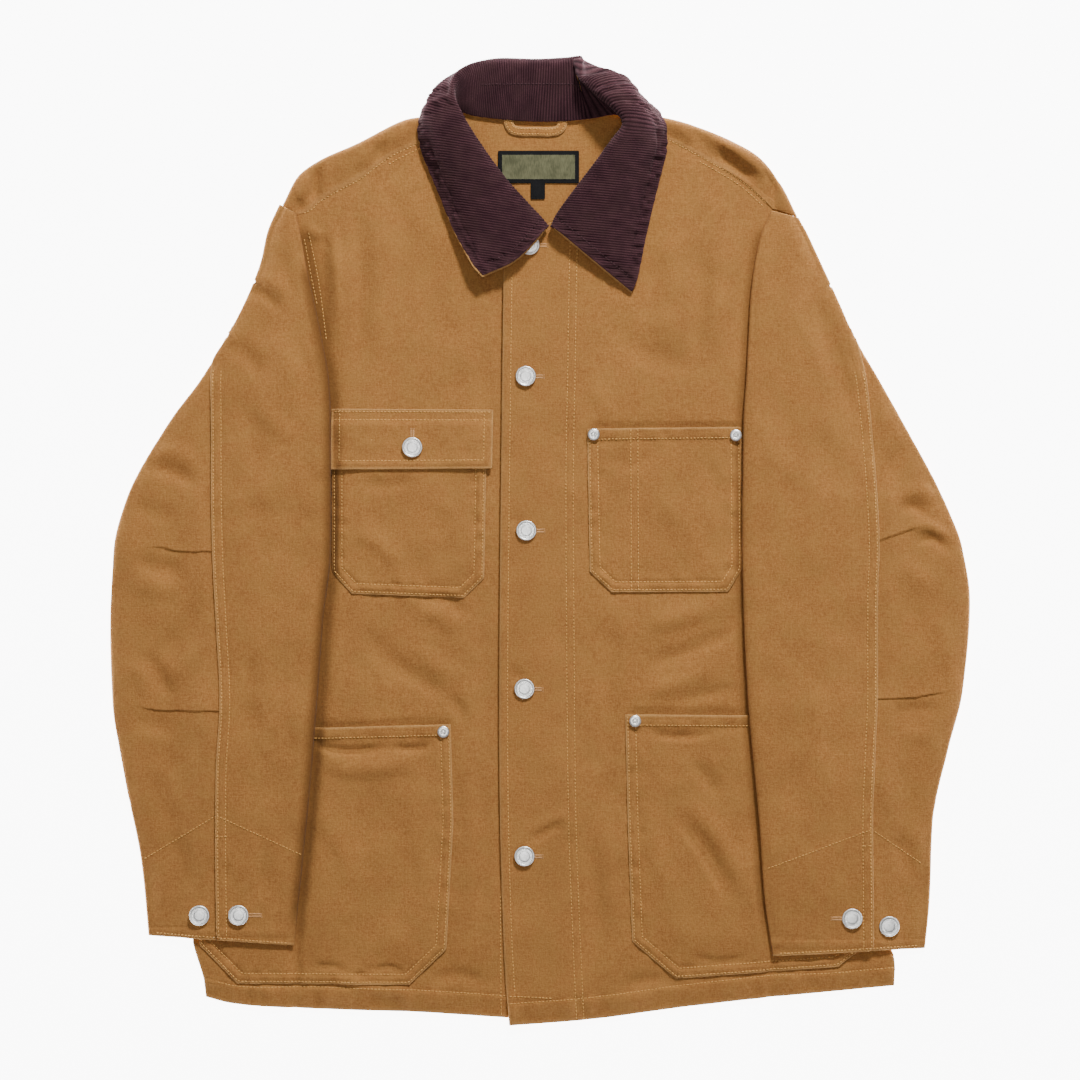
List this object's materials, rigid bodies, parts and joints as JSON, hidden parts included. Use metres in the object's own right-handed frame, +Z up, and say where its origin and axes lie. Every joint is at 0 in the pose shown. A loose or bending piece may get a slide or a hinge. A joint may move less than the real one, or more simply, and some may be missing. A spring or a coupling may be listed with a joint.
{
  "type": "chore jacket",
  "caption": "Unlined cotton duck work jacket with a corduroy collar, patch pockets and metal shank buttons, laid flat on its back with the sleeves over the front.",
  "frame": {"origin": "on the surface the jacket lies on, below the middle of its bounding box", "axes": "+X towards the wearer's left side, +Y from the hem to the collar, +Z up from the surface"},
  "size_m": [0.7037, 0.7936, 0.034],
  "materials": {
    "duck_canvas": "tan cotton duck, plain close weave, matt",
    "corduroy": "dark plum brown corduroy with fine raised ribs, matt",
    "woven_label": "olive grey woven label with a black border, blank",
    "woven_tab": "black woven tab, blank",
    "nickel_plate": "nickel plated, satin with polished rims"
  },
  "bodies": {
    "root": {"back_panel": "duck_canvas", "front_right": "duck_canvas", "front_left": "duck_canvas", "sleeve_right_inner": "duck_canvas", "sleeve_right_outer": "duck_canvas", "sleeve_left_inner": "duck_canvas", "sleeve_left_outer": "duck_canvas", "collar_under": "duck_canvas", "hanger_loop": "duck_canvas", "chest_pocket_right": "duck_canvas", "chest_pocket_left": "duck_canvas", "chest_flap_right": "duck_canvas", "hip_pocket_right": "duck_canvas", "hip_pocket_left": "duck_canvas", "collar_upper": "corduroy", "neck_label": "woven_label", "size_tab": "woven_tab", "button_front_1": "nickel_plate", "button_front_2": "nickel_plate", "button_front_3": "nickel_plate", "button_front_4": "nickel_plate", "button_front_5": "nickel_plate", "button_flap": "nickel_plate", "button_cuff_right_inner": "nickel_plate", "button_cuff_right_outer": "nickel_plate", "button_cuff_left_inner": "nickel_plate", "button_cuff_left_outer": "nickel_plate", "rivet_chest_left_inner": "nickel_plate", "rivet_chest_left_outer": "nickel_plate", "rivet_hip_right": "nickel_plate", "rivet_hip_left": "nickel_plate"}
  },
  "joints": []
}
